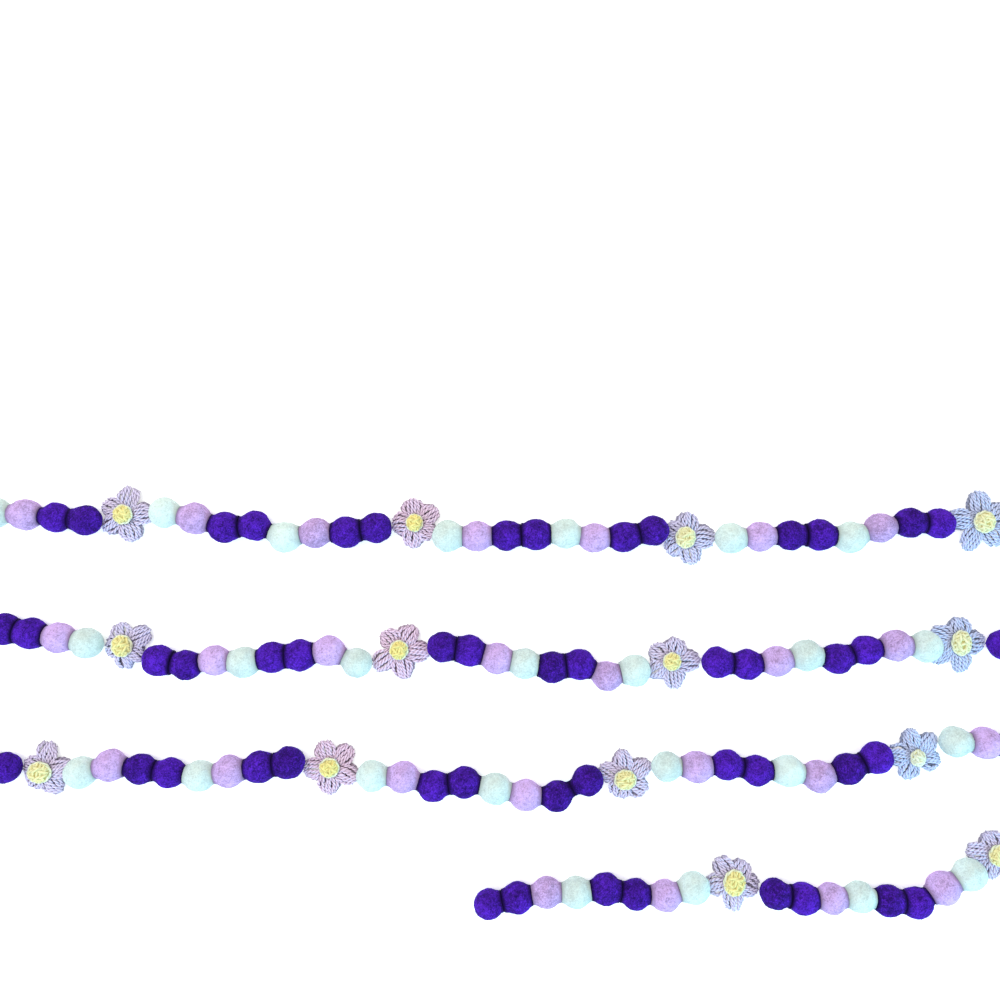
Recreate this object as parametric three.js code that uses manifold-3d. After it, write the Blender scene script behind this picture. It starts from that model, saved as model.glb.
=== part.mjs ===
// A garland of felted wool balls and looped-yarn flowers, strung on one thread and laid in four rows.
// Millimetres, +Z up. The origin is the middle of the garland's footprint, on the surface it lies on.
import * as THREE from 'three';
import { mergeVertices } from 'three/addons/utils/BufferGeometryUtils.js';
import Module from 'manifold-3d';

const wasm = await Module();
wasm.setup();

// Felt balls. A ball is an eight-sided barrel of the same girth, with one side down as its flat spot.
const BALL_RADIUS = 11.2;
const BALLS_PER_RUN = 8;
const BALL_SIDES = 8;
const GIRTH_AT = 0.4;
const GIRTH_RADIUS = 1.012 * BALL_RADIUS;
const SHOULDER_AT = 0.78;
const SHOULDER_RADIUS = 0.68 * BALL_RADIUS;
const NECK_RADIUS = 0.45 * BALL_RADIUS;
const BALL_HEIGHT = GIRTH_RADIUS * Math.cos(Math.PI / BALL_SIDES);

// Yarn flowers. They lie on the surface between two runs of balls, whose end balls press into them.
const PETALS = 5;
const PETAL_STEPS = 4;
const PETAL_THICKNESS = 7.4;
const PETAL_FORM = [0.62, 0.94, 1.0, 0.94];
const PETAL_EDGE = { foot: 0.84, belly: 1.0, bellyHeight: 0.5, brow: 0.8 };
const BUTTON_RADIUS = 7.4;
const BUTTON_SIDES = 10;
const BUTTON_EDGE = { rimHeight: 1.0, browRadius: 0.72, browHeight: 3.9, crownHeight: 5.2 };
const GAP = 0.4;
const PRESS = 1.2;
const BALL_ABOVE_BELLY = BALL_HEIGHT - PETAL_EDGE.bellyHeight * PETAL_THICKNESS;
const BALL_AT_PETAL = Math.sqrt(BALL_RADIUS ** 2 - BALL_ABOVE_BELLY ** 2);

// The two ends of the garland and the flowers along it, in order: place, width and turn of the first petal.
const START = { x: -468, y: -9 };
const END = { x: -8.6, y: -301.7 };
const FLOWERS = [
  { x: -281.7, y: -10.4, across: 40, spin: 70 },
  { x: -63.5, y: -16.6, across: 40, spin: 28 },
  { x: 139.0, y: -28.2, across: 40, spin: 2 },
  { x: 362.3, y: -16.9, across: 43, spin: 28 },
  { x: 345.0, y: -106.5, across: 42, spin: 0 },
  { x: 128.9, y: -120.4, across: 40, spin: -2 },
  { x: -75.3, y: -112.4, across: 41, spin: -11 },
  { x: -282.0, y: -108.3, across: 38, spin: 23 },
  { x: -481.0, y: -113.0, across: 40, spin: 40 },
  { x: -344.2, y: -202.9, across: 40, spin: 8 },
  { x: -127.4, y: -199.6, across: 41, spin: 43 },
  { x: 93.8, y: -208.3, across: 40, spin: 31 },
  { x: 311.7, y: -192.0, across: 40, spin: 37 },
  { x: 373.4, y: -265.1, across: 40, spin: 36 },
  { x: 175.2, y: -286.0, across: 41, spin: 52 },
];

// The runs, in order: the distance from the flower before to the first ball and from the last ball to the
// flower after, and how far each ball lies to the left of the line between them. A run that turns has a
// curved line, which leaves and arrives along two handles.
const RUNS = [
  { lead: 0, trail: 27.4, sway: [0, 1, -1, 1, 0, -1, -3, -5] },
  { lead: 31, trail: 28.5, sway: [2, -2, -8, -6, -14, -10, -9, -5] },
  { lead: 25, trail: 24.5, sway: [-9, -8, -6, -4, -2, -4, -2, 4] },
  { lead: 33, trail: 34, sway: [-2, -2, -2, -3, -6, 0, 3, 1] },
  { lead: 30, trail: 31, sway: [0, 1, 0, -1, 0, 1, 0, 0], leave: [106, 0], arrive: [122, -16] },
  { lead: 27, trail: 33, sway: [1, -1, 1, 6, 2, 5, 6, 3] },
  { lead: 28, trail: 32, sway: [8, 13, 5, 8, 6, 3, -2, -4] },
  { lead: 31, trail: 27, sway: [10, 1, 5, 7, 11, 10, 14, 11] },
  { lead: 26, trail: 30, sway: [2, 1, 1, 0, 1, 1, -1, 0], leave: [-80, 10], arrive: [26, 36] },
  { lead: 30, trail: 25, sway: [0, -1, 1, 0, -1, 0, 1, 0], leave: [-44, -56], arrive: [-106, 12] },
  { lead: 31, trail: 30, sway: [-1, 4, 1, -2, -5, -2, 1, 4] },
  { lead: 32, trail: 28, sway: [-5, -5, -11, -7, -11, -15, -15, -2] },
  { lead: 31, trail: 30, sway: [7, 5, 5, -1, -3, -9, -5, 2] },
  { lead: 30, trail: 30, sway: [3, 0, 0, -1, 0, 1, -1, 0], leave: [114, 46], arrive: [98, 0] },
  { lead: 24, trail: 29, sway: [12, 20, 29, 25, 20, 19, 17, 11] },
  { lead: 30.5, trail: 0, sway: [1, 5, 2, -4, -3, -5, -3, 0] },
];

const felt = new THREE.MeshStandardMaterial({ color: 0x4a22b4, roughness: 0.95, metalness: 0 });
const petalYarn = new THREE.MeshStandardMaterial({ color: 0xcdbbea, roughness: 0.9, metalness: 0 });
const buttonYarn = new THREE.MeshStandardMaterial({ color: 0xf0e77a, roughness: 0.9, metalness: 0 });

const radians = THREE.MathUtils.degToRad;

// A lathe's seam and poles merged, so that the mesh is closed and no triangle is flat.
function closed(geometry) {
  geometry.deleteAttribute('normal');
  geometry.deleteAttribute('uv');
  const merged = mergeVertices(geometry, 1e-4);
  const corners = merged.index.array;
  const kept = [];
  for (let i = 0; i < corners.length; i += 3) {
    const [a, b, c] = corners.subarray(i, i + 3);
    if (a !== b && b !== c && c !== a) kept.push(a, b, c);
  }
  merged.setIndex(kept);
  return merged;
}

function toSolid(geometry) {
  return new wasm.Manifold(new wasm.Mesh({
    numProp: 3,
    vertProperties: new Float32Array(geometry.attributes.position.array),
    triVerts: new Uint32Array(geometry.index.array),
  }));
}

function toGeometry(solid) {
  const { vertProperties, triVerts } = solid.getMesh();
  const geometry = new THREE.BufferGeometry();
  geometry.setAttribute('position', new THREE.BufferAttribute(vertProperties, 3));
  geometry.setIndex(new THREE.BufferAttribute(triVerts, 1));
  return geometry;
}

// The line that a run follows on the surface, from one stop to the next.
function runLine(from, to, { leave, arrive }) {
  const a = new THREE.Vector3(from.x, from.y, BALL_HEIGHT);
  const b = new THREE.Vector3(to.x, to.y, BALL_HEIGHT);
  if (!leave) return new THREE.LineCurve3(a, b);
  const afterA = a.clone().add(new THREE.Vector3(...leave, 0));
  const beforeB = b.clone().add(new THREE.Vector3(...arrive, 0));
  return new THREE.CubicBezierCurve3(a, afterA, beforeB, b);
}

// A smooth curve through the middles of a run's balls.
function threadThrough(from, to, run) {
  const line = runLine(from, to, run);
  const length = line.getLength();
  const pitch = (length - run.lead - run.trail) / (BALLS_PER_RUN - 1);
  const middles = run.sway.map((sway, i) => {
    const along = (run.lead + i * pitch) / length;
    const heading = line.getTangentAt(along);
    const left = new THREE.Vector3(-heading.y, heading.x, 0);
    return line.getPointAt(along).addScaledVector(left, sway);
  });
  return { middles, curve: new THREE.CatmullRomCurve3(middles, false, 'centripetal'), pitch };
}

// The place and heading of the thread at a ball number, which runs on straight past the end balls.
function onThread(curve, pitch, ball) {
  const last = BALLS_PER_RUN - 1;
  const inside = THREE.MathUtils.clamp(ball, 0, last);
  const heading = curve.getTangent(inside / last);
  const place = curve.getPoint(inside / last);
  return { heading, place: place.addScaledVector(heading, (ball - inside) * pitch) };
}

// A run of pressed balls: a straight string of beads, turned on a lathe and then laid along its thread.
function ballRun({ curve, pitch }, grow) {
  const radius = BALL_RADIUS / pitch;
  const last = BALLS_PER_RUN - 1;
  const swell = grow / pitch;
  const profile = [new THREE.Vector2(0, -radius - swell)];
  profile.push(new THREE.Vector2(SHOULDER_RADIUS + grow, -SHOULDER_AT * radius - swell));
  for (let ball = 0; ball <= last; ball += 1) {
    profile.push(new THREE.Vector2(GIRTH_RADIUS + grow, ball - GIRTH_AT * radius));
    profile.push(new THREE.Vector2(GIRTH_RADIUS + grow, ball + GIRTH_AT * radius));
    if (ball < last) profile.push(new THREE.Vector2(NECK_RADIUS + grow, ball + 0.5));
  }
  profile.push(new THREE.Vector2(SHOULDER_RADIUS + grow, last + SHOULDER_AT * radius + swell));
  profile.push(new THREE.Vector2(0, last + radius + swell));
  const beads = closed(new THREE.LatheGeometry(profile, BALL_SIDES, Math.PI / BALL_SIDES));
  const point = beads.attributes.position;
  for (let i = 0; i < point.count; i += 1) {
    const { heading, place } = onThread(curve, pitch, point.getY(i));
    const right = new THREE.Vector3(heading.y, -heading.x, 0);
    place.addScaledVector(right, point.getX(i));
    point.setXYZ(i, place.x, place.y, place.z + point.getZ(i));
  }
  return beads;
}

// How far a petal's edge lies from the flower's middle one way: its own reach, or as far as the ball there.
function petalReach(flower, angle, ownReach, balls) {
  const touches = balls.map((ball) => {
    const away = Math.hypot(ball.x - flower.x, ball.y - flower.y);
    const turn = angle - Math.atan2(ball.y - flower.y, ball.x - flower.x);
    const aside = away * Math.sin(turn);
    const meets = Math.cos(turn) > 0 && Math.abs(aside) < BALL_AT_PETAL;
    return meets ? away * Math.cos(turn) - Math.sqrt(BALL_AT_PETAL ** 2 - aside ** 2) + PRESS : 0;
  });
  return Math.max(ownReach, ...touches);
}

// Five puffed petals: a round pad turned on a lathe, drawn in between the petals and out to the balls.
function petalPad(flower, balls) {
  const { foot, belly, bellyHeight, brow } = PETAL_EDGE;
  const profile = [
    new THREE.Vector2(0, 0),
    new THREE.Vector2(foot, 0),
    new THREE.Vector2(belly, bellyHeight * PETAL_THICKNESS),
    new THREE.Vector2(brow, PETAL_THICKNESS),
    new THREE.Vector2(0, PETAL_THICKNESS),
  ];
  const pad = new THREE.LatheGeometry(profile, PETALS * PETAL_STEPS);
  pad.rotateX(Math.PI / 2);
  const point = pad.attributes.position;
  const step = (2 * Math.PI) / (PETALS * PETAL_STEPS);
  for (let i = 0; i < point.count; i += 1) {
    const angle = Math.atan2(point.getY(i), point.getX(i));
    const place = Math.round(angle / step) + PETAL_STEPS / 2;
    const form = PETAL_FORM[THREE.MathUtils.euclideanModulo(place, PETAL_STEPS)];
    const reach = petalReach(flower, angle + radians(flower.spin), (flower.across / 2) * form, balls);
    point.setXYZ(i, point.getX(i) * reach, point.getY(i) * reach, point.getZ(i));
  }
  pad.rotateZ(radians(flower.spin));
  pad.translate(flower.x, flower.y, 0);
  return closed(pad);
}

function button({ x, y }) {
  const { rimHeight, browRadius, browHeight, crownHeight } = BUTTON_EDGE;
  const profile = [
    new THREE.Vector2(0, 0),
    new THREE.Vector2(BUTTON_RADIUS, rimHeight),
    new THREE.Vector2(browRadius * BUTTON_RADIUS, browHeight),
    new THREE.Vector2(0, crownHeight),
  ];
  const dome = new THREE.LatheGeometry(profile, BUTTON_SIDES);
  dome.rotateX(Math.PI / 2);
  dome.translate(x, y, PETAL_THICKNESS + GAP);
  return closed(dome);
}

function addPiece(garland, name, number, geometry, material) {
  const mesh = new THREE.Mesh(geometry, material);
  mesh.name = `${name}_${String(number).padStart(2, '0')}`;
  garland.add(mesh);
}

const garland = new THREE.Group();
const stops = [START, ...FLOWERS, END];
const threads = RUNS.map((run, i) => threadThrough(stops[i], stops[i + 1], run));
threads.forEach((thread, i) => addPiece(garland, 'balls', i + 1, ballRun(thread, 0), felt));
FLOWERS.forEach((flower, i) => {
  const [before, after] = [threads[i], threads[i + 1]];
  const pad = toSolid(petalPad(flower, [before.middles.at(-1), after.middles[0]]));
  const pressed = pad.subtract(toSolid(ballRun(before, GAP))).subtract(toSolid(ballRun(after, GAP)));
  addPiece(garland, 'petals', i + 1, toGeometry(pressed), petalYarn);
  addPiece(garland, 'button', i + 1, button(flower), buttonYarn);
});

// The footprint's middle goes to the origin.
const box = new THREE.Box3().setFromObject(garland);
const middle = box.getCenter(new THREE.Vector3());
garland.position.set(-middle.x, -middle.y, -box.min.z);

export default garland;
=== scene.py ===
"""A garland of felted wool balls and looped-yarn flowers, laid back and forth in rows on a pale floor."""

import math
import random
from collections import namedtuple

import bmesh
import bpy
from mathutils import Euler, Matrix, Vector, geometry, kdtree, noise


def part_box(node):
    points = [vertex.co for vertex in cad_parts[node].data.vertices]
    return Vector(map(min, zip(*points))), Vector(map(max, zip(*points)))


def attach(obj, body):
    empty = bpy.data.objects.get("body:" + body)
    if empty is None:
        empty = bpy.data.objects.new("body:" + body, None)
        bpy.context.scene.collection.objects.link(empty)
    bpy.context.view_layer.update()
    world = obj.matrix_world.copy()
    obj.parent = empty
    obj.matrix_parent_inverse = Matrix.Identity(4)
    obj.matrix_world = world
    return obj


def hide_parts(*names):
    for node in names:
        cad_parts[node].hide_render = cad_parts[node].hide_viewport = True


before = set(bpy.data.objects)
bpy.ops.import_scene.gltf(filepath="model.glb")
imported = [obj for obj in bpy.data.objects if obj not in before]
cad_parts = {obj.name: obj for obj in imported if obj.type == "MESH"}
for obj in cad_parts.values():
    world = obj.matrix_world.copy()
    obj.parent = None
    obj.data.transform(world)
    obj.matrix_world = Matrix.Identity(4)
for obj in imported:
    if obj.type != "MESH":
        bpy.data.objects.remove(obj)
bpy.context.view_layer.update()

bl_info = {
    "name": "Felt Ball and Yarn Flower Garland",
    "version": (1, 0, 0),
    "blender": (4, 5, 0),
    "location": "3D View > Sidebar > Garland",
    "description": "Builds a garland of felt balls and looped-yarn flowers around its measured frame",
    "category": "Object",
}

MM = 0.001

# Rows of the garland: the runs of balls and the flowers that lie in each, counted from the start.
Row = namedtuple("Row", "runs flowers")
ROWS = [
    Row(range(1, 6), range(1, 5)),
    Row(range(6, 10), range(5, 9)),
    Row(range(10, 15), range(9, 14)),
    Row(range(15, 17), range(14, 16)),
]
BALL_COLOURS = ("mint", "lilac", "violet", "violet", "mint", "lilac", "violet", "violet")
BALLS_PER_RUN = len(BALL_COLOURS)

# The flowers, in order: how far the button is off the frame's middle and its width and length, in
# millimetres; how pink the petals and how pale the button, from 0 to 1; the turn of the button's stitches
# in degrees; and each petal's turn in degrees and reach in millimetres.
Flower = namedtuple("Flower", "shift button pink pale weave petals")
FLOWERS = [
    Flower((-1.2, -0.5), (14.4, 14.6), 0.58, 0.1, 30,
           ((74, 21.6), (156, 19.0), (211, 20.0), (287, 21.6), (359, 21.0))),
    Flower((-0.6, -0.5), (12.8, 13.2), 0.95, 0.0, 70,
           ((28, 20.2), (94, 18.4), (184, 16.8), (263, 19.5), (322, 18.0))),
    Flower((0.1, 0.1), (15.0, 16.0), 0.42, 0.5, 85,
           ((78, 19.3), (143, 16.7), (220, 17.5), (287, 21.8), (357, 23.6))),
    Flower((1.0, 0.5), (16.0, 16.5), 0.1, 0.5, 20,
           ((30, 22.0), (97, 24.1), (172, 22.9), (238, 24.2), (308, 22.0))),
    Flower((0.9, -0.7), (14.8, 19.0), 0.1, 0.6, 5,
           ((88, 19.2), (156, 22.3), (214, 24.9), (273, 23.2), (358, 20.2))),
    Flower((0.1, -0.7), (13.5, 13.5), 0.55, 0.15, 50,
           ((73, 18.1), (146, 18.4), (212, 20.2), (277, 21.8), (358, 22.0))),
    Flower((-0.5, 0.0), (14.0, 14.4), 1.0, 0.0, 60,
           ((52, 21.0), (128, 18.3), (217, 24.2), (279, 23.0), (353, 22.5))),
    Flower((-1.5, -1.1), (16.0, 16.6), 0.5, 0.15, 100,
           ((26, 22.5), (97, 17.1), (185, 14.6), (277, 18.4), (319, 17.8))),
    Flower((0.0, 0.0), (15.0, 15.0), 0.6, 0.2, 40,
           ((40, 20.0), (112, 20.0), (184, 20.0), (256, 20.0), (328, 20.0))),
    Flower((-1.1, -1.3), (18.0, 16.0), 0.65, 0.35, 75,
           ((5, 23.0), (71, 22.9), (153, 15.3), (230, 15.0), (311, 21.5))),
    Flower((-0.6, -1.1), (14.8, 14.8), 1.0, 0.0, 20,
           ((40, 22.0), (104, 19.6), (187, 21.0), (267, 21.6), (334, 23.0))),
    Flower((0.1, -1.4), (16.6, 15.0), 0.6, 0.3, 85,
           ((31, 21.5), (95, 22.0), (153, 20.5), (246, 15.9), (330, 19.8))),
    Flower((1.6, -1.4), (11.2, 12.6), 0.05, 1.0, 50,
           ((48, 22.4), (100, 21.4), (172, 18.2), (241, 19.1), (348, 19.5))),
    Flower((0.6, -1.3), (15.0, 16.0), 0.5, 0.3, 40,
           ((32, 20.0), (104, 17.3), (175, 22.4), (252, 20.2), (324, 20.0))),
    Flower((0.6, -1.0), (16.5, 20.0), 0.55, 0.1, 55,
           ((55, 17.4), (120, 20.9), (191, 18.6), (270, 23.0), (336, 19.7))),
]

# The runs, in order: the distance from the flower before to the first ball and from the last ball to the
# flower after, and how far each ball lies to the left of the line between them, in millimetres. A run that
# turns has a curved line, which leaves and arrives along two handles.
Run = namedtuple("Run", "lead trail sway leave arrive", defaults=(None, None))
RUNS = [
    Run(0, 27.4, (0, 1, -1, 1, 0, -1, -3, -5)),
    Run(31, 28.5, (2, -2, -8, -6, -14, -10, -9, -5)),
    Run(25, 24.5, (-9, -8, -6, -4, -2, -4, -2, 4)),
    Run(33, 34, (-2, -2, -2, -3, -6, 0, 3, 1)),
    Run(30, 31, (0, 1, 0, -1, 0, 1, 0, 0), (106, 0), (122, -16)),
    Run(27, 33, (1, -1, 1, 6, 2, 5, 6, 3)),
    Run(28, 32, (8, 13, 5, 8, 6, 3, -2, -4)),
    Run(31, 27, (10, 1, 5, 7, 11, 10, 14, 11)),
    Run(26, 30, (2, 1, 1, 0, 1, 1, -1, 0), (-80, 10), (26, 36)),
    Run(30, 25, (0, -1, 1, 0, -1, 0, 1, 0), (-44, -56), (-106, 12)),
    Run(31, 30, (-1, 4, 1, -2, -5, -2, 1, 4)),
    Run(32, 28, (-5, -5, -11, -7, -11, -15, -15, -2)),
    Run(31, 30, (7, 5, 5, -1, -3, -9, -5, 2)),
    Run(30, 30, (3, 0, 0, -1, 0, 1, -1, 0), (114, 46), (98, 0)),
    Run(24, 29, (12, 20, 29, 25, 20, 19, 17, 11)),
    Run(30.5, 0, (1, 5, 2, -4, -3, -5, -3, 0)),
]
# The garland's two ends and the camera, each from the first or the last flower.
START_FROM_FIRST_FLOWER = Vector((-186.3, 1.4, 0)) * MM
END_FROM_LAST_FLOWER = Vector((-183.8, -15.7, 0)) * MM
CAMERA_FROM_FIRST_FLOWER = Vector((281.7, 10.4, 0)) * MM
CURVE_STEPS = 200
TINY = 1e-6


def node_middle(node):
    """The middle of a frame node's box."""
    low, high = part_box(node)
    return (low + high) / 2


def flower_place(number):
    """Where a flower's middle stands on the floor."""
    middle = node_middle(f"button_{number:02d}")
    return Vector((middle.x, middle.y, 0))


def flower_middle(number):
    """Where the middle of a flower's button shows, a little off its place on the thread."""
    return flower_place(number) + Vector((*FLOWERS[number - 1].shift, 0)) * MM


def run_stops(number):
    """The two places that a run of balls lies between."""
    before = flower_place(number - 1) if number > 1 else flower_place(1) + START_FROM_FIRST_FLOWER
    after = flower_place(number) if number < len(RUNS) else flower_place(len(FLOWERS)) + END_FROM_LAST_FLOWER
    return before, after


def run_line(number):
    """The line that a run follows on the floor, as closely spaced points."""
    run = RUNS[number - 1]
    before, after = run_stops(number)
    if run.leave is None:
        return [before.lerp(after, i / CURVE_STEPS) for i in range(CURVE_STEPS + 1)]
    leave = before + Vector((*run.leave, 0)) * MM
    arrive = after + Vector((*run.arrive, 0)) * MM
    return geometry.interpolate_bezier(before, leave, arrive, after, CURVE_STEPS + 1)


def along_line(points, distance):
    """The place and heading at a distance along a line of points."""
    gone = 0.0
    for a, b in zip(points, points[1:]):
        step = (b - a).length
        if gone + step >= distance or b is points[-1]:
            heading = (b - a).normalized()
            return a + heading * (distance - gone), heading
        gone += step


def line_length(points):
    """The length of a line of points."""
    return sum((b - a).length for a, b in zip(points, points[1:]))


def ball_middles(number):
    """The middles of a run's balls, at the height of the frame's own run."""
    run = RUNS[number - 1]
    points = run_line(number)
    pitch = (line_length(points) - (run.lead + run.trail) * MM) / (BALLS_PER_RUN - 1)
    height = node_middle(f"balls_{number:02d}").z
    middles = []
    for i, sway in enumerate(run.sway):
        place, heading = along_line(points, run.lead * MM + i * pitch)
        left = Vector((-heading.y, heading.x, 0))
        middles.append(place + left * sway * MM + Vector((0, 0, height)))
    return middles


class FeltBallSettings(bpy.types.PropertyGroup):
    """Sizes and colours of the felted balls."""

    radius: bpy.props.FloatProperty(
        name="Radius", description="Radius of a ball across the thread", default=11.5 * MM, unit="LENGTH")
    uneven: bpy.props.FloatProperty(
        name="Unevenness", description="How far one ball's size strays from the next", default=0.035)
    neck: bpy.props.FloatProperty(
        name="Neck", description="Radius at which two balls mat together, as a share of their own",
        default=0.58)
    like_neck: bpy.props.FloatProperty(
        name="Like neck", description="The same where the two balls are of one colour", default=0.68)
    slack: bpy.props.FloatProperty(
        name="Slack", description="How much thinner the neck gets as two balls lie further apart",
        default=1.0)
    fillet: bpy.props.FloatProperty(
        name="Fillet", description="How softly a ball runs into its neck", default=1.6 * MM, unit="LENGTH")
    lump: bpy.props.FloatProperty(
        name="Lumps", description="Depth of the broad dents of hand felting", default=0.7 * MM, unit="LENGTH")
    crease: bpy.props.FloatProperty(
        name="Creases", description="Depth of the felt's fine creases", default=0.35 * MM, unit="LENGTH")
    cuts: bpy.props.IntProperty(
        name="Cuts", description="Cuts across each side of the cube that a ball starts from", default=11)
    hairs: bpy.props.IntProperty(
        name="Loose fibres", description="Loose wool fibres standing off each ball", default=260)
    hair_length: bpy.props.FloatProperty(
        name="Fibre length", description="Longest loose fibre", default=2.3 * MM, unit="LENGTH")
    hair_radius: bpy.props.FloatProperty(
        name="Fibre radius", description="Radius of a loose fibre at its root", default=0.05 * MM,
        unit="LENGTH")
    violet: bpy.props.FloatVectorProperty(
        name="Violet", description="Deep violet felt", default=(0.046, 0.0082, 0.238), subtype="COLOR")
    lilac: bpy.props.FloatVectorProperty(
        name="Lilac", description="Lilac felt", default=(0.505, 0.34, 0.615), subtype="COLOR")
    mint: bpy.props.FloatVectorProperty(
        name="Mint", description="Pale mint felt", default=(0.58, 0.69, 0.635), subtype="COLOR")


class FlowerSettings(bpy.types.PropertyGroup):
    """Sizes and colours of the looped-yarn flowers."""

    strands: bpy.props.IntProperty(
        name="Strands", description="Strands of yarn side by side in a petal", default=6)
    ply_radius: bpy.props.FloatProperty(
        name="Ply radius", description="Radius of one ply of the petals' yarn", default=0.76 * MM,
        unit="LENGTH")
    ply_offset: bpy.props.FloatProperty(
        name="Ply offset", description="Distance of a ply from the middle of the petals' yarn",
        default=0.58 * MM, unit="LENGTH")
    ply_twist: bpy.props.FloatProperty(
        name="Twist", description="Length in which the petals' yarn turns once", default=6.4 * MM,
        unit="LENGTH")
    button_ply_radius: bpy.props.FloatProperty(
        name="Button ply radius", description="Radius of one ply of the buttons' yarn", default=0.98 * MM,
        unit="LENGTH")
    button_ply_offset: bpy.props.FloatProperty(
        name="Button ply offset", description="Distance of a ply from the middle of the buttons' yarn",
        default=0.5 * MM, unit="LENGTH")
    button_ply_twist: bpy.props.FloatProperty(
        name="Button twist", description="Length in which the buttons' yarn turns once", default=11.0 * MM,
        unit="LENGTH")
    step: bpy.props.FloatProperty(
        name="Step", description="Spacing of the points along the yarn", default=1.0 * MM, unit="LENGTH")
    root: bpy.props.FloatProperty(
        name="Root", description="Distance from the middle at which a strand starts", default=3.0 * MM,
        unit="LENGTH")
    waist: bpy.props.FloatProperty(
        name="Waist", description="Distance from the middle that sets how wide a petal is",
        default=14.2 * MM, unit="LENGTH")
    lavender: bpy.props.FloatVectorProperty(
        name="Lavender", description="Cool petal yarn", default=(0.58, 0.66, 0.9), subtype="COLOR")
    pink: bpy.props.FloatVectorProperty(
        name="Pinkish lilac", description="Warm petal yarn", default=(0.82, 0.62, 0.78), subtype="COLOR")
    yellow: bpy.props.FloatVectorProperty(
        name="Yellow", description="Button yarn", default=(0.86, 0.74, 0.265), subtype="COLOR")
    cream: bpy.props.FloatVectorProperty(
        name="Cream", description="Pale button yarn", default=(0.81, 0.86, 0.62), subtype="COLOR")


class StageSettings(bpy.types.PropertyGroup):
    """Floor, light and camera."""

    camera_height: bpy.props.FloatProperty(
        name="Camera height", description="Height of the camera over the floor", default=0.663, unit="LENGTH")
    lens: bpy.props.FloatProperty(
        name="Lens", description="Focal length on a 36 mm sensor, in millimetres", default=31.46)
    floor_size: bpy.props.FloatProperty(
        name="Floor", description="Width of the floor", default=60.0, unit="LENGTH")
    floor_colour: bpy.props.FloatVectorProperty(
        name="Floor colour", description="Pale floor", default=(0.93, 0.93, 0.93), subtype="COLOR")
    floor_glow: bpy.props.FloatProperty(
        name="Floor glow", description="Light that the floor gives off, as a light table does", default=0.45)
    sky: bpy.props.FloatProperty(
        name="Sky", description="Strength of the even light from all round", default=0.9)
    key: bpy.props.FloatProperty(
        name="Key", description="Power of the broad light high on the left", default=14.0, unit="POWER")
    window: bpy.props.FloatProperty(
        name="Window", description="Power of the cool light from the right", default=16.0, unit="POWER")
    lamp: bpy.props.FloatProperty(
        name="Lamp", description="Power of the cool light from the left", default=6.5, unit="POWER")


class Wire:
    """An output socket that takes part in Python expressions."""

    def __init__(self, tree, socket):
        self.tree = tree
        self.socket = socket

    @classmethod
    def node(cls, tree, kind, settings=None, inputs=None, output=0):
        """Adds a node, sets it up, feeds its inputs and gives one of its outputs."""
        made = tree.nodes.new(kind)
        for name, value in (settings or {}).items():
            if name == "stops":
                cls._set_stops(made.color_ramp, value)
            else:
                setattr(made, name, value)
        for name, value in (inputs or {}).items():
            if isinstance(value, Wire):
                tree.links.new(value.socket, made.inputs[name])
            else:
                made.inputs[name].default_value = value
        return cls(tree, made.outputs[output])

    @staticmethod
    def _set_stops(ramp, stops):
        while len(ramp.elements) < len(stops):
            ramp.elements.new(1.0)
        for element, (place, colour) in zip(ramp.elements, stops):
            element.position = place
            element.color = colour

    def _math(self, operation, a, b):
        return Wire.node(self.tree, "ShaderNodeMath", {"operation": operation}, {0: a, 1: b})

    def __add__(self, other):
        return self._math("ADD", self, other)

    __radd__ = __add__

    def __mul__(self, other):
        return self._math("MULTIPLY", self, other)

    __rmul__ = __mul__

    def __sub__(self, other):
        return self._math("SUBTRACT", self, other)

    def __rsub__(self, other):
        return self._math("SUBTRACT", other, self)


def new_material(name, **constants):
    """A material with one Principled shader, whose unchanging inputs are set on its own sockets."""
    material = bpy.data.materials.new(name)
    material.use_nodes = True
    tree = material.node_tree
    shader = tree.nodes["Principled BSDF"]
    for socket, value in constants.items():
        shader.inputs[socket.replace("_", " ")].default_value = value
    return material, tree, shader


def mix_colours(tree, share, a, b):
    """A colour between two others."""
    mixed = Wire.node(tree, "ShaderNodeMix", {"data_type": "RGBA"}, {"Factor": share}, output=2)
    node = mixed.socket.node
    for socket, value in ((node.inputs[6], a), (node.inputs[7], b)):
        if isinstance(value, Wire):
            tree.links.new(value.socket, socket)
        else:
            socket.default_value = (*value, 1.0)
    return mixed


def shade(colour, by):
    """A colour made darker or lighter."""
    return tuple(min(1.0, c * by) for c in colour)


def noise_at(tree, place, scale, detail, rough, distort=0.0):
    """A noise with its scale counted to the metre of the piece's own coordinates."""
    return Wire.node(tree, "ShaderNodeTexNoise", inputs={
        "Vector": place, "Scale": scale, "Detail": detail, "Roughness": rough, "Distortion": distort})


def attribute(tree, name):
    """A number that the mesh carries."""
    return Wire.node(tree, "ShaderNodeAttribute", {"attribute_name": name}, output="Fac")


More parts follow.
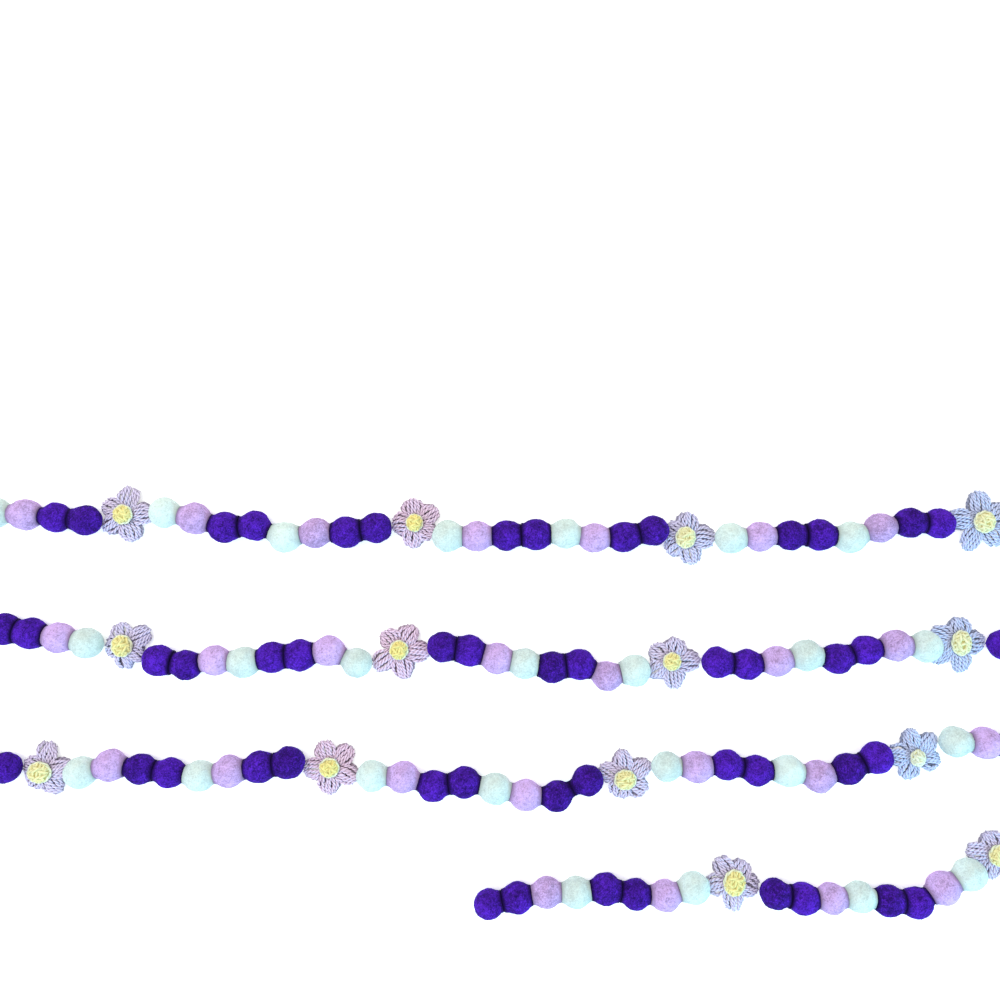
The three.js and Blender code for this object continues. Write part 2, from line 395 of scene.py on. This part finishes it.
def felt(name, colour, dark, light, dark_and_painted_shade):
    """Felted wool: matted fibres that swirl over the ball, mottled, with painted shade where two balls meet.
    """
    material, tree, shader = new_material(name, Roughness=0.95, Specular_IOR_Level=0.08)
    place = Wire.node(tree, "ShaderNodeTexCoord", output="Object")
    swirl = noise_at(tree, place, scale=480.0, detail=2.5, rough=0.6, distort=1.4)
    strand = noise_at(tree, place, scale=1000.0, detail=2.0, rough=0.6, distort=1.0)
    cloud = noise_at(tree, place, scale=130.0, detail=2.0, rough=0.5)
    height = swirl * 0.5 + strand * 0.5
    mottle = height * 3.6 + cloud * 0.9 + attribute(tree, "tone") * 0.3 - 1.9
    stops = [(0.05, (*dark, 1.0)), (0.5, (*colour, 1.0)), (0.95, (*light, 1.0))]
    face = Wire.node(tree, "ShaderNodeValToRGB", {"stops": stops}, {"Fac": mottle})
    # Painted shade: the felt is darkened by the "depth" layer in the notch where two balls meet.
    paint = mix_colours(tree, attribute(tree, "depth"), face, dark_and_painted_shade)
    bump = Wire.node(tree, "ShaderNodeBump", inputs={"Strength": 0.7, "Distance": 0.7 * MM, "Height": height})
    tree.links.new(paint.socket, shader.inputs["Base Color"])
    tree.links.new(bump.socket, shader.inputs["Normal"])
    return material


# How dark the yarn's painted shade in its grooves and on its undersides is, as a share of its own colour;
# the same dark sets the low end of its fibre mottle.
YARN_DARK_AND_PAINTED_SHADE = 0.24


def plied_yarn(name, cool, warm):
    """Soft plied yarn: fine fibres along it, with painted shade where it lies deep, between a cool and a warm
    colour.
    """
    material, tree, shader = new_material(name, Roughness=0.9, Specular_IOR_Level=0.15)
    place = Wire.node(tree, "ShaderNodeTexCoord", output="Object")
    fibre = noise_at(tree, place, scale=1800.0, detail=3.0, rough=0.7, distort=0.8)
    cloud = noise_at(tree, place, scale=330.0, detail=2.0, rough=0.5)
    tone = attribute(tree, "tone")
    hue = mix_colours(tree, tone, cool, warm)
    dark_and_painted_shade = mix_colours(tree, tone, shade(cool, YARN_DARK_AND_PAINTED_SHADE), shade(warm, YARN_DARK_AND_PAINTED_SHADE))
    lit = mix_colours(tree, fibre * 0.5 + cloud * 0.5 + 0.4, dark_and_painted_shade, hue)
    # Painted shade: the yarn is darkened by the "depth" layer low down and in the grooves between its plies.
    paint = mix_colours(tree, attribute(tree, "depth"), lit, dark_and_painted_shade)
    bump = Wire.node(tree, "ShaderNodeBump", inputs={"Strength": 0.5, "Distance": 0.3 * MM, "Height": fibre})
    tree.links.new(paint.socket, shader.inputs["Base Color"])
    tree.links.new(bump.socket, shader.inputs["Normal"])
    return material


def finish_piece(name, bm, material, nodes):
    """Turns a bmesh into a finished piece that stands for some of the frame's nodes."""
    mesh = bpy.data.meshes.new(name)
    bm.to_mesh(mesh)
    bm.free()
    mesh.shade_smooth()
    mesh.materials.append(material)
    piece = bpy.data.objects.new(name, mesh)
    bpy.context.scene.collection.objects.link(piece)
    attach(piece, "root")
    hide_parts(*nodes)
    return piece


# A ball among its neighbours: its middle, and for each neighbour the way to it, the distance to the plane
# where the two meet and the share of the ball's radius at which they mat together.
Seat = namedtuple("Seat", "middle contacts")
Contact = namedtuple("Contact", "heading reach neck")


def ball_seats(number, settings):
    """Where each ball of a run sits between the balls before and after it."""
    middles = ball_middles(number)
    seats = []
    for i, middle in enumerate(middles):
        contacts = []
        for j in (i - 1, i + 1):
            if 0 <= j < len(middles):
                away = middles[j] - middle
                neck = settings.like_neck if BALL_COLOURS[i] == BALL_COLOURS[j] else settings.neck
                contacts.append(Contact(away.normalized(), away.length / 2, neck))
        seats.append(Seat(middle, contacts))
    return seats


# Loose fibres: where they start, as a share of the ball's radius, how steeply they stand off it and how
# short the shortest is beside the longest.
FIBRE_ROOT = 0.99
FIBRE_RISE = (0.15, 0.7)
FIBRE_SHORTEST = 0.4


def ball_pattern(settings, rng):
    """A unit ball with loose fibres standing off it, ready to be laid in any seat."""
    bm = bmesh.new()
    bmesh.ops.create_cube(bm, size=2.0)
    bmesh.ops.subdivide_edges(bm, edges=bm.edges[:], cuts=settings.cuts, use_grid_fill=True)
    quarter = math.pi / 4
    for v in bm.verts:
        v.co = Vector([math.tan(c * quarter) for c in v.co]).normalized()
    longest = settings.hair_length / settings.radius
    thick = settings.hair_radius / settings.radius
    for _ in range(settings.hairs):
        out = Vector([rng.gauss(0, 1) for _ in range(3)]).normalized()
        lean = Vector([rng.gauss(0, 1) for _ in range(3)]).normalized()
        heading = (out * rng.uniform(*FIBRE_RISE) + lean).normalized()
        if heading.dot(out) < 0:
            heading = heading - 2 * heading.dot(out) * out
        length = longest * rng.uniform(FIBRE_SHORTEST, 1.0)
        middle = out * FIBRE_ROOT + heading * (length / 2)
        turn = heading.to_track_quat("Z", "Y").to_matrix().to_4x4()
        bmesh.ops.create_cone(
            bm, cap_ends=True, segments=3, radius1=thick, radius2=0.0, depth=length,
            matrix=Matrix.Translation(middle) @ turn)
    mesh = bpy.data.meshes.new("ball_pattern")
    bm.to_mesh(mesh)
    bm.free()
    return mesh


def soft_floor(z, floor, ease):
    """Heights that ease to a floor in place of passing it."""
    if z > floor + ease:
        return z
    return floor + ease * math.exp((z - floor - ease) / ease)


# Where a point of the unit ball comes to lie on the face that two balls share, as a cosine from the way to
# the neighbour, and how far along the way to that face the notch between them begins, with its painted shade.
CONTACT = 0.9
NOTCH_FROM = 0.66

# How fine the dents, the grooves and the creases of the felt are, in waves to a radius.
LUMP_SCALE = 1.7
GROOVE_SCALE = 3.1
GROOVE_SHIFT = Vector((7, 3, 5))
CREASE_SCALE = 7.3

# The lowest that felt lies over the floor, and the height in which a ball flattens towards it.
FLOOR_GAP = 0.05 * MM
FLOOR_EASE = 0.5 * MM

# A felt's own shades, as shares of its colour: the face, its dark and light spots, and the painted shade in
# the notch where two balls meet.
FELT_SHADES = {
    "violet": (0.97, 0.35, 2.1, 0.16),
    "lilac": (1.0, 0.58, 1.3, 0.52),
    "mint": (1.0, 0.8, 1.14, 0.66),
}


def ball_profile(axial, contact, girth, settings):
    """Along the thread, away from it, and how deep in the notch a point of the unit ball comes to lie, which
    sets its painted shade.
    """
    q = min(axial, 1.0)
    share = min(q / CONTACT, 1.0)
    along = contact.reach * share
    ball = math.sqrt(max(girth * girth - along * along, 0.0))
    neck = girth * (contact.neck - settings.slack * (contact.reach / girth - 1))
    away = (ball + neck + math.hypot(ball - neck, settings.fillet)) / 2
    if q > CONTACT:
        away *= math.sqrt((1 - q * q) / (1 - CONTACT * CONTACT))
    # The notch share smooths the dents there and also sets the painted shade in the notch.
    notch = max(0.0, (share - NOTCH_FROM) / (1 - NOTCH_FROM))
    return along, away, notch * notch * (3 - 2 * notch)


def felted(point, seat, settings, girth, grain):
    """A point of the unit ball, felted, matted to its neighbours and pressed on the floor, and how much
    painted shade it gets in the notch.
    """
    height = point.length
    out = point / height
    nearest = max(seat.contacts, key=lambda contact: out.dot(contact.heading))
    axial = out.dot(nearest.heading)
    base = out * girth
    notch = 0.0
    if axial > 0:
        along, away, notch = ball_profile(axial, nearest, girth, settings)
        flat_out = out - nearest.heading * axial
        around = flat_out.normalized() if flat_out.length > TINY else Vector((0, 0, 1))
        base = nearest.heading * along + around * away
    n = grain @ out
    lumps = noise.noise(n * LUMP_SCALE) * settings.lump
    grooves = (1 - abs(noise.noise(n * GROOVE_SCALE + GROOVE_SHIFT))) ** 4
    creases = (noise.noise(n * CREASE_SCALE) * 0.5 - grooves * 0.9) * settings.crease
    swell = (lumps + creases) * (1 - notch) + (height - 1) * settings.radius
    place = seat.middle + base + out * swell
    place.z = soft_floor(place.z, FLOOR_GAP, FLOOR_EASE)
    return place, notch


class GARLAND_OT_felt_balls(bpy.types.Operator):
    """Felted wool balls, pressed against each other in runs, one piece for each colour in each row"""

    bl_idname = "garland.felt_balls"
    bl_label = "Felt Balls"

    # How many different balls are made, of which each ball laid is one, turned and dented anew.
    patterns = 5

    def execute(self, context):
        settings = context.scene.garland_balls
        rng = random.Random(11)
        patterns = [ball_pattern(settings, rng) for _ in range(self.patterns)]
        felts = {}
        for name, shares in FELT_SHADES.items():
            felts[name] = felt(f"felt_{name}", *(shade(getattr(settings, name), by) for by in shares))
        for row_number, row in enumerate(ROWS, 1):
            meshes = {name: self.row_of_balls(row, name, settings, patterns, rng) for name in felts}
            nodes = [f"balls_{number:02d}" for number in row.runs]
            for name, bm in meshes.items():
                finish_piece(f"felt_balls_{name}_row_{row_number}", bm, felts[name], nodes)
        for mesh in patterns:
            bpy.data.meshes.remove(mesh)
        return {"FINISHED"}

    @staticmethod
    def row_of_balls(row, colour, settings, patterns, rng):
        """The balls of one colour in a row, each with its own size, turn, dents and tone, and painted shade in
        the notches.
        """
        bm = bmesh.new()
        tone = bm.verts.layers.float.new("tone")
        # The "depth" layer holds painted shade, darkest in the notch between two balls.
        depth = bm.verts.layers.float.new("depth")
        for number in row.runs:
            seats = ball_seats(number, settings)
            for seat, ball_colour in zip(seats, BALL_COLOURS):
                if ball_colour != colour:
                    continue
                girth = settings.radius * (1 + rng.uniform(-settings.uneven, settings.uneven))
                spin = Euler([rng.uniform(0, math.tau) for _ in range(3)]).to_matrix()
                grain = Matrix.Translation([rng.uniform(0, 50) for _ in range(3)])
                ball_tone = rng.random()
                first = len(bm.verts)
                bm.from_mesh(rng.choice(patterns))
                bm.verts.ensure_lookup_table()
                for v in bm.verts[first:]:
                    v.co, v[depth] = felted(spin @ v.co, seat, settings, girth, grain)
                    v[tone] = ball_tone
        return bm


def clear_of_balls(point, balls, girth):
    """A point of yarn moved aside, level, out of the balls beside it."""
    for ball in balls:
        away = point - ball
        up = away.z
        if abs(up) >= girth:
            continue
        keep = math.sqrt(girth * girth - up * up)
        level = Vector((away.x, away.y, 0))
        if level.length < keep:
            point = point + level.normalized() * (keep - level.length)
    return point


def even_steps(points, step):
    """The same line with its points evenly spaced."""
    length = line_length(points)
    count = max(2, round(length / step))
    marks = [length * i / count for i in range(count + 1)]
    spaced = []
    gone = 0.0
    i = 0
    for mark in marks:
        while i < len(points) - 2 and gone + (points[i + 1] - points[i]).length < mark:
            gone += (points[i + 1] - points[i]).length
            i += 1
        span = (points[i + 1] - points[i]).length or 1.0
        spaced.append(points[i].lerp(points[i + 1], min(1.0, (mark - gone) / span)))
    return spaced


# Two-ply yarn: the radius of a ply, its distance from the middle, the length of one turn, and the spacing of
# points along it.
Yarn = namedtuple("Yarn", "radius offset twist step")
PLIES = 2


def twist_plies(points, yarn, phase):
    """The lines of the plies that twist round each other along a strand."""
    lines = [[] for _ in range(PLIES)]
    gone = 0.0
    for i, point in enumerate(points):
        ahead = points[min(i + 1, len(points) - 1)]
        behind = points[max(i - 1, 0)]
        heading = (ahead - behind).normalized()
        aside = heading.cross(Vector((0, 0, 1)))
        aside = aside.normalized() if aside.length > TINY else Vector((1, 0, 0))
        up = aside.cross(heading)
        gone += (point - behind).length if i else 0.0
        for k, line in enumerate(lines):
            angle = phase + math.tau * (gone / yarn.twist + k / PLIES)
            line.append(point + (aside * math.cos(angle) + up * math.sin(angle)) * yarn.offset)
    return lines


def yarn_mesh(strands, yarn, rng):
    """One mesh of plied yarn along many strands."""
    curve = bpy.data.curves.new("yarn", "CURVE")
    curve.dimensions = "3D"
    curve.bevel_depth = yarn.radius
    curve.bevel_resolution = 1
    curve.use_fill_caps = True
    for strand in strands:
        spaced = even_steps(strand, yarn.step)
        for line in twist_plies(spaced, yarn, rng.uniform(0, math.tau)):
            spline = curve.splines.new("POLY")
            spline.points.add(len(line) - 1)
            for point, place in zip(spline.points, line):
                point.co = (*place, 1.0)
    holder = bpy.data.objects.new("yarn", curve)
    mesh = bpy.data.meshes.new_from_object(holder)
    bpy.data.objects.remove(holder)
    bpy.data.curves.remove(curve)
    return mesh


# How much painted shade the groove between two plies gets at the middle of a strand, and how much less towards
# its crest.
PLY_GROOVE_PAINTED_SHADE = 1.5
PLY_GROOVE_PAINTED_SHADE_FALL = 1.9


def yarn_painted_shade(strands, yarn, full_painted_shade_at, no_painted_shade_at):
    """How much painted shade a place on the yarn gets: low down, or in the groove between the plies of a
    strand.
    """
    spots = [spot for strand in strands for spot in even_steps(strand, yarn.step / 3)]
    tree = kdtree.KDTree(len(spots))
    for i, spot in enumerate(spots):
        tree.insert(spot, i)
    tree.balance()
    crest = yarn.radius + yarn.offset

    def depth(place):
        # Painted shade: darker the lower the yarn lies, and in the groove between its plies.
        low = (no_painted_shade_at - place.z) / (no_painted_shade_at - full_painted_shade_at)
        groove_painted_shade = PLY_GROOVE_PAINTED_SHADE - PLY_GROOVE_PAINTED_SHADE_FALL * tree.find(place)[2] / crest
        return min(1.0, max(0.0, low, groove_painted_shade))

    return depth


def add_mesh(bm, mesh, tone, depth):
    """Adds a mesh to a piece, with its share of the warm colour and the painted shade of each place."""
    tones = bm.verts.layers.float.get("tone") or bm.verts.layers.float.new("tone")
    # The "depth" layer holds painted shade.
    depths = bm.verts.layers.float.get("depth") or bm.verts.layers.float.new("depth")
    first = len(bm.verts)
    bm.from_mesh(mesh)
    bm.verts.ensure_lookup_table()
    for v in bm.verts[first:]:
        v[tones] = tone
        v[depths] = depth(v.co)
    bpy.data.meshes.remove(mesh)


# How wide a petal is along its length, as a share of its greatest width, and how high its strands lie on top,
# in millimetres.
PETAL_WIDTH = ((0.0, 0.36), (0.3, 0.76), (0.6, 1.0), (0.8, 0.97), (1.0, 0.72))
PETAL_TOP = ((0.0, 4.0), (0.22, 4.8), (0.45, 6.2), (0.7, 6.0), (1.0, 4.8))
# How much lower the strands at a petal's sides lie, how high those underneath lie, and how far a strand
# bulges past its end as it turns back, in millimetres.
PETAL_SAG = 1.7
PETAL_UNDER = 1.9
TIP_BEND = 1.6
# How much shorter the strands at a petal's sides are, and how far the strands stray: in length, aside, in
# height in millimetres, and in a slow wave.
TIP_ROUND = 0.11
END_STRAY = 0.03
SIDE_STRAY = 0.06
LIFT_STRAY = 0.4
WAVE_STRAY = 0.05
WAVE_TURNS = 7
# Steps along one side of a strand, and in its turn at the tip.
STRAND_STEPS = 10
BEND_STEPS = 6
# The heights at which petal yarn gets full painted shade and none.
PETAL_FULL_PAINTED_SHADE_AT = 1.5 * MM
PETAL_NO_PAINTED_SHADE_AT = 5.2 * MM
# A petal reaches out to a ball ahead of it: to PRESS of the ball's radius, where the ball lies no further
# aside than FACING of that. It spreads over no more than WIDEST_SPREAD degrees.
FACING = 0.7
PRESS = 0.94
WIDEST_SPREAD = 80
# How much of a ply's offset, as a share, is kept clear between a strand and a ball.
PLY_CLEARANCE = 0.6


def between(table, at):
    """A value read between the two nearest entries of a table."""
    for (x0, y0), (x1, y1) in zip(table, table[1:]):
        if at <= x1:
            return y0 + (y1 - y0) * (at - x0) / (x1 - x0)
    return table[-1][1]


def reach_to_ball(middle, angle, reach, balls, girth):
    """How far a petal reaches: as far as the ball that it faces, or else its own length."""
    for ball in balls:
        away = Vector((ball.x - middle.x, ball.y - middle.y))
        turn = math.remainder(angle - math.atan2(away.y, away.x), math.tau)
        aside = away.length * math.sin(turn)
        if math.cos(turn) > 0 and abs(aside) < girth * FACING:
            reach = max(reach, away.length * math.cos(turn) - math.sqrt(girth ** 2 - aside ** 2))
    return reach


def petal_strand(middle, angle, side, half_width, end, settings, rng):
    """One strand of a petal: out along its top, round its tip and back underneath."""
    u = Vector((math.cos(angle), math.sin(angle), 0))
    v = Vector((-math.sin(angle), math.cos(angle), 0))
    end = end * (1 - TIP_ROUND * side * side) * (1 + rng.uniform(-END_STRAY, END_STRAY))
    end = end - TIP_BEND * MM - settings.ply_radius
    side += rng.uniform(-SIDE_STRAY, SIDE_STRAY)
    under_side = side + 1 / settings.strands
    lift = rng.uniform(-LIFT_STRAY, LIFT_STRAY) - PETAL_SAG * side * side
    drift = rng.uniform(-SIDE_STRAY, SIDE_STRAY)
    wave = rng.uniform(0, math.tau)

    def spot(share, across, z):
        out = settings.root + (end - settings.root) * share
        across += drift * share * share + WAVE_STRAY * math.sin(wave + WAVE_TURNS * share)
        aside = across * half_width * between(PETAL_WIDTH, share)
        return middle + u * out + v * aside + Vector((0, 0, z * MM))

    shares = [i / STRAND_STEPS for i in range(STRAND_STEPS + 1)]
    top = [spot(share, side, between(PETAL_TOP, share) + lift) for share in shares]
    under = [spot(share, under_side, PETAL_UNDER) for share in reversed(shares)]
    bend = []
    for i in range(1, BEND_STEPS):
        turn = math.pi * i / BEND_STEPS
        level = top[-1].lerp(under[0], (1 - math.cos(turn)) / 2)
        bend.append(level + u * (TIP_BEND * MM * math.sin(turn)))
    return top + bend + under


def beside(number):
    """The two balls beside a flower."""
    return [ball_middles(number)[-1], ball_middles(number + 1)[0]]


class GARLAND_OT_petals(bpy.types.Operator):
    """Petals of plied yarn, drawn out side by side and turned back underneath, one piece for each row"""

    bl_idname = "garland.petals"
    bl_label = "Petals"

    def execute(self, context):
        settings = context.scene.garland_flowers
        rng = random.Random(23)
        yarn = Yarn(settings.ply_radius, settings.ply_offset, settings.ply_twist, settings.step)
        material = plied_yarn("petal_yarn", tuple(settings.lavender), tuple(settings.pink))
        for row_number, row in enumerate(ROWS, 1):
            bm = bmesh.new()
            for number in row.flowers:
                strands = self.strands(number, context.scene, rng)
                # Painted shade for each place of the petal yarn, from its height and its ply grooves.
                depth = yarn_painted_shade(strands, yarn, PETAL_FULL_PAINTED_SHADE_AT, PETAL_NO_PAINTED_SHADE_AT)
                add_mesh(bm, yarn_mesh(strands, yarn, rng), FLOWERS[number - 1].pink, depth)
            nodes = [f"petals_{number:02d}" for number in row.flowers]
            finish_piece(f"petals_row_{row_number}", bm, material, nodes)
        return {"FINISHED"}

    @staticmethod
    def strands(number, scene, rng):
        """The strands of a flower's petals, kept clear of the balls beside it."""
        settings = scene.garland_flowers
        middle = flower_middle(number)
        balls = beside(number)
        radius = scene.garland_balls.radius
        girth = radius + settings.ply_radius + settings.ply_offset * PLY_CLEARANCE
        petals = FLOWERS[number - 1].petals
        strands = []
        for k, (turn, own_reach) in enumerate(petals):
            angle = math.radians(turn)
            reach = reach_to_ball(middle, angle, own_reach * MM, balls, radius * PRESS)
            gap_after = (petals[(k + 1) % len(petals)][0] - turn) % 360
            gap_before = (turn - petals[k - 1][0]) % 360
            for i in range(settings.strands):
                side = (2 * i + 1) / settings.strands - 1
                gap = math.radians(min(gap_after if side > 0 else gap_before, WIDEST_SPREAD)) / 2
                half_width = settings.waist * math.sin(gap)
                strand = petal_strand(middle, angle, side, half_width, reach, settings, rng)
                strands.append([clear_of_balls(point, balls, girth) for point in strand])
        return strands


# A button's height over its foot, and how far its pad stands over that and its foot over the frame's
# button, in millimetres.
BUTTON_DOME = 3.6
PAD_RISE = 0.5
BUTTON_SEAT = 0.4
# Its rows of stitches, each with its range of turns in degrees, its number of stitches and its lift in
# millimetres.
STITCH_ROWS = ((None, 5, 0.0), ((50, 75), 2, 0.7), ((-75, -50), 2, 1.0))
# As shares of the button's own size: how far a row spreads, how far its stitches stray aside and bow, how long
# they are, and how much shorter for each millimetre of lift.
STITCH_SPREAD = 0.84
STITCH_STRAY = 0.06
STITCH_BOW = 0.15
STITCH_LENGTH = 0.96
STITCH_DRAW_IN = 0.2
# The power that shapes the dome, which at 0.5 would be half an ellipsoid, and the steps along a stitch and
# round the rim.
DOME_POWER = 0.6
STITCH_STEPS = 12
RIM_STEPS = 36
# How far below its foot a button's yarn gets full painted shade; how pale its rim is, a painted highlight for
# the light on its edge; and how much painted shade darkens its pad under the stitches.
BUTTON_FULL_PAINTED_SHADE_BELOW = 4 * MM
RIM_PAINTED_HIGHLIGHT = 0.9
BUTTON_PAD_PAINTED_SHADE = 0.55


def button_halves(number):
    """Half the width and half the length of a button, to the middle of its outermost yarn."""
    return [side / 2 * MM - MM for side in FLOWERS[number - 1].button]


def button_stitches(number, foot, rng):
    """Stitches laid side by side over a domed button, with a few across them."""
    flower = FLOWERS[number - 1]
    middle = flower_middle(number)
    width, length = button_halves(number)
    strands = []
    turns = [rng.uniform(*turn_range) if turn_range else 0 for turn_range, _, _ in STITCH_ROWS]
    for turn, (_, count, lift) in zip(turns, STITCH_ROWS):
        angle = math.radians(flower.weave + turn)
        u = Vector((math.cos(angle), math.sin(angle), 0))
        v = Vector((-math.sin(angle), math.cos(angle), 0))
        for i in range(count):
            offset = STITCH_SPREAD * ((2 * i + 1) / count - 1) + rng.uniform(-STITCH_STRAY, STITCH_STRAY)
            half = math.sqrt(1 - offset * offset) * (STITCH_LENGTH - STITCH_DRAW_IN * lift)
            bow = rng.uniform(-STITCH_BOW, STITCH_BOW)
            strand = []
            for k in range(STITCH_STEPS + 1):
                share = 2 * k / STITCH_STEPS - 1
                spot = u * half * share + v * (offset + bow * (1 - share * share))
                dome = BUTTON_DOME * max(0.0, 1 - spot.length_squared) ** DOME_POWER
                rise = dome + lift * (1 - share ** 4)
                strand.append(middle + Vector((spot.x * width, spot.y * length, foot + rise * MM)))
            strands.append(strand)
    return strands


def button_rim(number, foot):
    """The stitch that runs round a button."""
    width, length = button_halves(number)
    turns = [math.tau * i / RIM_STEPS for i in range(RIM_STEPS + 1)]
    middle = flower_middle(number)
    return [middle + Vector((width * math.cos(t), length * math.sin(t), foot)) for t in turns]


def button_pad(number, foot):
    """The padding under the stitches."""
    width, length = button_halves(number)
    bm = bmesh.new()
    size = Matrix.Diagonal((width, length, (BUTTON_DOME + PAD_RISE) * MM, 1.0))
    place = Matrix.Translation(flower_middle(number) + Vector((0, 0, foot)))
    bmesh.ops.create_uvsphere(bm, u_segments=20, v_segments=10, radius=1.0, matrix=place @ size)
    mesh = bpy.data.meshes.new("pad")
    bm.to_mesh(mesh)
    bm.free()
    return mesh


class GARLAND_OT_buttons(bpy.types.Operator):
    """Yellow buttons, stitched over a pad on the middle of each flower, one piece for each row"""

    bl_idname = "garland.buttons"
    bl_label = "Buttons"

    def execute(self, context):
        settings = context.scene.garland_flowers
        rng = random.Random(37)
        yarn = Yarn(
            settings.button_ply_radius, settings.button_ply_offset, settings.button_ply_twist, settings.step)
        material = plied_yarn("button_yarn", tuple(settings.yellow), tuple(settings.cream))
        for row_number, row in enumerate(ROWS, 1):
            bm = bmesh.new()
            for number in row.flowers:
                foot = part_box(f"button_{number:02d}")[0].z + BUTTON_SEAT * MM
                stitches = button_stitches(number, foot, rng)
                rim = [button_rim(number, foot)]
                # The rim is painted pale cream, a painted highlight for the light on the button's edge.
                for strands, pale in ((stitches, FLOWERS[number - 1].pale), (rim, RIM_PAINTED_HIGHLIGHT)):
                    depth = yarn_painted_shade(strands, yarn, foot - BUTTON_FULL_PAINTED_SHADE_BELOW, foot)
                    add_mesh(bm, yarn_mesh(strands, yarn, rng), pale, depth)
                # The pad under the stitches is painted in shade.
                add_mesh(bm, button_pad(number, foot), 0.0, lambda place: BUTTON_PAD_PAINTED_SHADE)
            nodes = [f"button_{number:02d}" for number in row.flowers]
            finish_piece(f"buttons_row_{row_number}", bm, material, nodes)
        return {"FINISHED"}


# How bright the sky looks to the camera, past plain white.
BACKDROP = 1.1
# The lamps, each with its place and width in metres and its colour; the stage settings hold their powers.
Lamp = namedtuple("Lamp", "place size colour")
LAMPS = {
    "window": Lamp((1.1, -0.8, 0.7), 0.5, (0.18, 0.68, 1.0)),
    "lamp": Lamp((-1.0, -0.8, 0.7), 0.5, (0.25, 0.6, 1.0)),
    "key": Lamp((-0.7, 0.6, 1.6), 0.9, (1.0, 0.98, 0.97)),
}


class GARLAND_OT_stage(bpy.types.Operator):
    """Pale floor, soft light and a camera that looks straight down"""

    bl_idname = "garland.stage"
    bl_label = "Stage"

    def execute(self, context):
        settings = context.scene.garland_stage
        self.floor(context, settings)
        self.light(context, settings)
        self.camera(context, settings)
        context.scene.view_settings.view_transform = "Standard"
        return {"FINISHED"}

    @staticmethod
    def floor(context, settings):
        bm = bmesh.new()
        bmesh.ops.create_grid(bm, x_segments=1, y_segments=1, size=settings.floor_size / 2)
        mesh = bpy.data.meshes.new("floor")
        bm.to_mesh(mesh)
        bm.free()
        material, _, shader = new_material("floor", Roughness=0.9, Emission_Strength=settings.floor_glow)
        shader.inputs["Base Color"].default_value = (*settings.floor_colour, 1.0)
        shader.inputs["Emission Color"].default_value = (*settings.floor_colour, 1.0)
        mesh.materials.append(material)
        floor = bpy.data.objects.new("floor", mesh)
        context.scene.collection.objects.link(floor)

    @staticmethod
    def light(context, settings):
        world = bpy.data.worlds.new("sky")
        world.use_nodes = True
        background = world.node_tree.nodes["Background"]
        background.inputs["Color"].default_value = (1.0, 1.0, 1.0, 1.0)
        seen = Wire.node(world.node_tree, "ShaderNodeLightPath", output="Is Camera Ray")
        strength = seen * (BACKDROP - settings.sky) + settings.sky
        world.node_tree.links.new(strength.socket, background.inputs["Strength"])
        context.scene.world = world
        for name, lamp in LAMPS.items():
            light = bpy.data.lights.new(name, "AREA")
            light.size = lamp.size
            light.energy = getattr(settings, name)
            light.color = lamp.colour
            holder = bpy.data.objects.new(name, light)
            holder.location = lamp.place
            holder.rotation_euler = (-Vector(lamp.place)).to_track_quat("-Z", "Y").to_euler()
            holder.visible_camera = False
            context.scene.collection.objects.link(holder)

    @staticmethod
    def camera(context, settings):
        lens = bpy.data.cameras.new("camera")
        lens.sensor_width = 36.0
        lens.lens = settings.lens
        lens.clip_start = 0.01
        camera = bpy.data.objects.new("camera", lens)
        camera.location = flower_place(1) + CAMERA_FROM_FIRST_FLOWER + Vector((0, 0, settings.camera_height))
        context.scene.collection.objects.link(camera)
        context.scene.camera = camera


class GARLAND_PT_panel(bpy.types.Panel):
    """Sidebar panel that lists the garland's pieces"""

    bl_label = "Garland"
    bl_idname = "GARLAND_PT_panel"
    bl_space_type = "VIEW_3D"
    bl_region_type = "UI"
    bl_category = "Garland"

    def draw(self, context):
        for operator in OPERATORS:
            self.layout.operator(operator.bl_idname)
        for group in ("garland_balls", "garland_flowers", "garland_stage"):
            settings = getattr(context.scene, group)
            box = self.layout.box()
            for name in settings.__annotations__:
                box.prop(settings, name)


OPERATORS = (GARLAND_OT_stage, GARLAND_OT_felt_balls, GARLAND_OT_petals, GARLAND_OT_buttons)
CLASSES = (FeltBallSettings, FlowerSettings, StageSettings, *OPERATORS, GARLAND_PT_panel)


def register():
    for cls in CLASSES:
        bpy.utils.register_class(cls)
    bpy.types.Scene.garland_balls = bpy.props.PointerProperty(type=FeltBallSettings)
    bpy.types.Scene.garland_flowers = bpy.props.PointerProperty(type=FlowerSettings)
    bpy.types.Scene.garland_stage = bpy.props.PointerProperty(type=StageSettings)


def unregister():
    for name in ("garland_balls", "garland_flowers", "garland_stage"):
        delattr(bpy.types.Scene, name)
    for cls in reversed(CLASSES):
        bpy.utils.unregister_class(cls)


def main():
    register()
    bpy.ops.garland.stage()
    bpy.ops.garland.felt_balls()
    bpy.ops.garland.petals()
    bpy.ops.garland.buttons()


if __name__ == "__main__":
    main()
